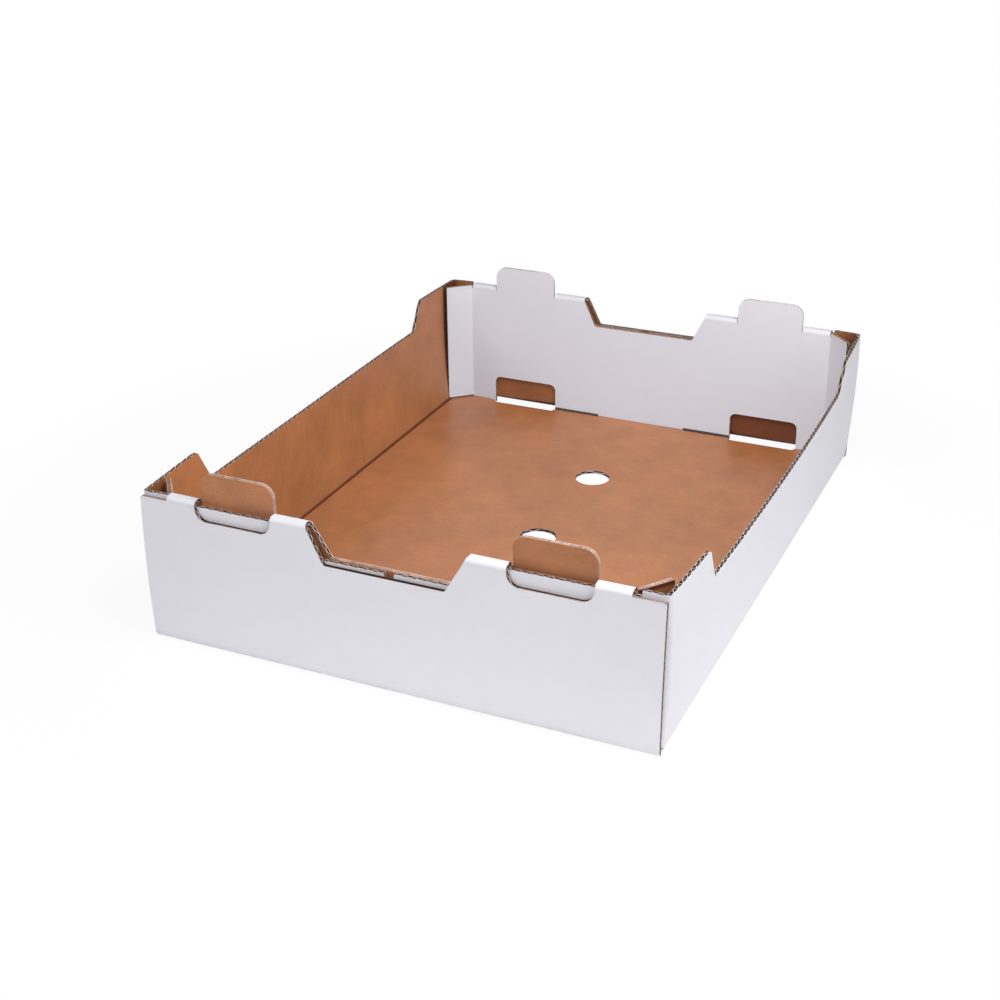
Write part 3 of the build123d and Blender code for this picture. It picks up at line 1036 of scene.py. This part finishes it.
def liner_parts(depths, shade_share):
    """The floor with both end walls, and then both side walls."""
    u, v = np.abs(end_flat).T
    on_seam = (np.abs(u - hinge_x) < 1e-4) & (v < corner_start + 1e-4)
    parts = [liner_part(end_flat, end_triangles[:, ::-1], fold_end_paper, depths, on_seam,
                        end_marks(end_flat, shade_share), end_flat)]
    for side, (flat, triangles) in side_sheets.items():
        on_seam = np.abs(flat[:, 1]) < 1e-4
        parts.append(liner_part(flat, triangles[:, ::side], fold_side_paper(side), depths, on_seam,
                                side_marks(flat, side, shade_share), flat[:, ::-1]))
    return parts


# How strongly each liner takes the painted shade marks.
white_shade_share, kraft_shade_share = 0.05, 1.0
add_piece("white_liner", liner_parts((0.0, liner), white_shade_share),
          [white_paper, shaded_flute_paper, white_cut])
add_piece("kraft_liner", liner_parts((board - liner, board), kraft_shade_share),
          [shaded_flute_paper, kraft_paper, kraft_cut])

# %% Make the fluting
steps_per_flute = 12
level_offset = 0.0137        # keeps every line of the wave off the outlines' own corners
row_step = flute_pitch / steps_per_flute
end_reach, side_reach = on_inner_wall(lug_z), flap_end
end_levels = np.arange(-end_reach, end_reach, row_step) + level_offset
side_levels = np.arange(-side_reach, side_reach, row_step) + level_offset
wing_knots = np.append(wing_bend_places, wing_bend_start + 8.0)
end_knots = np.concatenate([-wing_knots[::-1], spread(-150, 150, 60), wing_knots])
side_knots = np.concatenate([np.linspace(0, wall_foot, 5), wall_rows])

end_fluting = flute_sheet(end_loops, end_levels, 1, end_knots, fold_end_paper)
side_fluting = []
for side in (-1, 1):
    side_fluting += flute_sheet(side_loops[side], side_levels, 0, side_knots,
                                fold_side_paper(side))
add_piece("end_fluting", end_fluting, [shaded_flute_paper, shaded_flute_paper, flute_cut])
add_piece("side_fluting", side_fluting, [shaded_flute_paper, shaded_flute_paper, flute_cut])

# %% [markdown]
# ## Crushed edges
#
# Where the knife runs along a flute instead of across it, it presses the liners together, and
# the cut is a closed, mottled edge. That is so along the inner walls and the wings. The ears'
# edges are closed all round. The papers could be bent together there, but only their closed
# edge is ever seen, so a strip of faces from liner to liner stands for it.

# %% Close the edges that a knife has crushed
edge_step = 6.0              # the strip is cut this short, so that it follows the folds
steepest = 0.8               # edges flatter than this run along a flute


def closed_edges():
    """The part made of one four-cornered face for each short stretch of a crushed edge."""
    a = np.concatenate(end_loops)
    b = np.concatenate([np.roll(loop, -1, axis=0) for loop in end_loops])

    def both(test):
        return test(*np.abs(a).T) & test(*np.abs(b).T)

    run, rise = np.abs(a - b).T
    on_inner = both(lambda u, v: v > inner_start - 1e-6)
    on_wing = both(lambda u, v: (u > wing_x - 1e-6) & (v > strip_end))
    on_ear = both(lambda u, v: inside_ear(u, v, just_on))
    keep = ((rise < steepest * run) & (on_inner | on_wing)) | on_ear
    a, b = a[keep], b[keep]
    pieces = np.maximum(1, np.ceil(np.hypot(*(b - a).T) / edge_step).astype(int))
    share = [np.stack([np.arange(n), np.arange(n) + 1], axis=-1) / n for n in pieces]
    share = np.concatenate(share)
    a, b = np.repeat(a, pieces, axis=0), np.repeat(b, pieces, axis=0)
    first, last = a + (b - a) * share[:, :1], a + (b - a) * share[:, 1:]
    corners = ((first, liner), (last, liner), (last, board - liner), (first, board - liner))
    rows = [fold_end_paper(flat, np.full(len(flat), depth)) for flat, depth in corners]
    faces = np.arange(4 * len(first)).reshape(4, -1).T
    flat = np.concatenate([flat for flat, depth in corners])
    on_far_ear = inside_ear(flat[:, 0], np.abs(flat[:, 1]), just_on) & (flat[:, 1] > 0)
    on_near_left_wing = (flat[:, 0] < -wing_x + 1e-6) & (flat[:, 1] < -strip_end)
    marks = np.stack([on_near_left_wing, on_far_ear], axis=-1).astype(float)
    none = np.zeros((0, 4), int)
    return np.concatenate(rows), [none, none, faces], flat, marks


# Here the first mark is painted shade on the edge of the near left wing, and the second
# makes the far ears' edges as pale as the white liner.
add_piece("closed_edges", [closed_edges()], [shaded_flute_paper, shaded_flute_paper, crushed_cut])

# %% [markdown]
# ## Studio, light and camera
#
# The tray stands on a white sweep. The ground is mostly its own white for the camera, and
# partly lit, so that it still takes the tray's soft shadow. Turning the lamps up until the
# ground is white would burn out the white liner.
#
# Four soft lamps light the tray at a plain level, and the room adds a weak even light: one
# from the front left, two from the right, and one above the tray. The lamp above gives the
# floor of the tray its light, which the walls would otherwise keep out.

# %% Ground and room
def seen_directly(tree):
    """1 for what the camera sees, straight, mirrored or through glass, and 0 for light."""
    rays = tree.nodes.new("ShaderNodeLightPath")
    seen = maths(tree, "ADD", rays.outputs["Is Camera Ray"], rays.outputs["Is Glossy Ray"])
    seen = maths(tree, "ADD", seen, rays.outputs["Is Transmission Ray"])
    return maths(tree, "MINIMUM", seen, 1.0)


def stage_material():
    """White ground: more and more its own white away from the tray, so the shadow fades out."""
    material = bpy.data.materials.new("ground")
    material.use_nodes = True
    tree = material.node_tree
    tree.nodes.clear()
    out = tree.nodes.new("ShaderNodeOutputMaterial")
    lit = add_node(tree, "ShaderNodeBsdfDiffuse", Color=(0.97, 0.97, 0.97, 1.0))
    own = add_node(tree, "ShaderNodeEmission", Color=(1.0, 1.0, 1.0, 1.0), Strength=1.0)
    seen = seen_directly(tree)
    place = tree.nodes.new("ShaderNodeTexCoord")
    away = add_node(tree, "ShaderNodeVectorMath", [(0, place.outputs["Object"])],
                    operation="LENGTH")
    own_share = add_node(tree, "ShaderNodeMapRange", [("Value", away.outputs["Value"])],
                         interpolation_type="SMOOTHSTEP")
    limits = {"From Min": 0.30, "From Max": 0.62, "To Min": 0.93, "To Max": 1.0}
    for socket, value in limits.items():
        own_share.inputs[socket].default_value = value
    share = maths(tree, "MULTIPLY", seen, own_share.outputs["Result"])
    mix = add_node(tree, "ShaderNodeMixShader",
                   [(0, share), (1, lit.outputs[0]), (2, own.outputs[0])])
    tree.links.new(mix.outputs[0], out.inputs["Surface"])
    return material


reach = 6.0                  # the ground's half width, in metres
corners = [(-reach, -reach, 0), (reach, -reach, 0), (reach, reach, 0), (-reach, reach, 0)]
ground_mesh = bpy.data.meshes.new("ground")
ground_mesh.from_pydata(corners, [], [(0, 1, 2, 3)])
ground_mesh.materials.append(stage_material())
ground = bpy.data.objects.new("ground", ground_mesh)
bpy.context.scene.collection.objects.link(ground)

world = bpy.data.worlds.new("room")
bpy.context.scene.world = world
world.use_nodes = True
room = world.node_tree
room.nodes.clear()
room_light = add_node(room, "ShaderNodeBackground", Color=(0.97, 0.98, 1.0, 1.0), Strength=0.1)
room_white = add_node(room, "ShaderNodeBackground", Color=(1.0, 1.0, 1.0, 1.0), Strength=1.0)
room_mix = add_node(room, "ShaderNodeMixShader", [
    (0, seen_directly(room)), (1, room_light.outputs[0]), (2, room_white.outputs[0])])
add_node(room, "ShaderNodeOutputWorld", [("Surface", room_mix.outputs[0])])

# %% Lamps
def soft_lamp(name, place, aim, size, power):
    """A square lamp that looks from its place to its aim."""
    data = bpy.data.lights.new(name, "AREA")
    data.shape, data.size, data.energy = "SQUARE", size, power
    lamp = bpy.data.objects.new(name, data)
    lamp.location = place
    lamp.rotation_euler = (Vector(aim) - Vector(place)).to_track_quat("-Z", "Y").to_euler()
    bpy.context.scene.collection.objects.link(lamp)
    print("lamp", name, power, "W")


middle = (0, 0, 0.06)
soft_lamp("front_left", (-0.9, -1.8, 0.9), middle, size=1.0, power=13.2)
soft_lamp("right", (1.3, -0.5, 0.9), middle, size=1.0, power=6.0)
soft_lamp("back_right", (1.4, 0.6, 1.0), middle, size=1.0, power=1.9)
soft_lamp("above", (0.3, -0.25, 0.75), (-0.1, 0.1, 0.06), size=0.4, power=5.5)

# %% [markdown]
# The camera was found by matching about sixty corners of the tray in the photograph. It looks
# down from the right of the near end wall, and is rolled by half a degree.

# %% Camera
photo_side = 1000.0          # the photograph is square, in pixels
focal_pixels = 1609.7
camera_place = Vector((0.47107, -1.1124, 0.62235))
camera_aim = Vector((-0.37204, 0.81843, -0.43790)).normalized()
camera_roll = radians(-0.571)
level = camera_aim.cross(Vector((0, 0, 1))).normalized()
upright = level.cross(camera_aim)
right = level * cos(camera_roll) + upright * sin(camera_roll)
up = upright * cos(camera_roll) - level * sin(camera_roll)

data = bpy.data.cameras.new("camera")
data.sensor_width = 36.0
data.lens = focal_pixels * data.sensor_width / photo_side
data.clip_start, data.clip_end = 0.01, 50.0
camera = bpy.data.objects.new("camera", data)
turned = Matrix((right, up, -camera_aim)).transposed().to_4x4()
camera.matrix_world = Matrix.Translation(camera_place) @ turned
bpy.context.scene.collection.objects.link(camera)
bpy.context.scene.camera = camera
bpy.context.scene.view_settings.view_transform = "Standard"
print("camera lens", round(data.lens, 1), "mm")
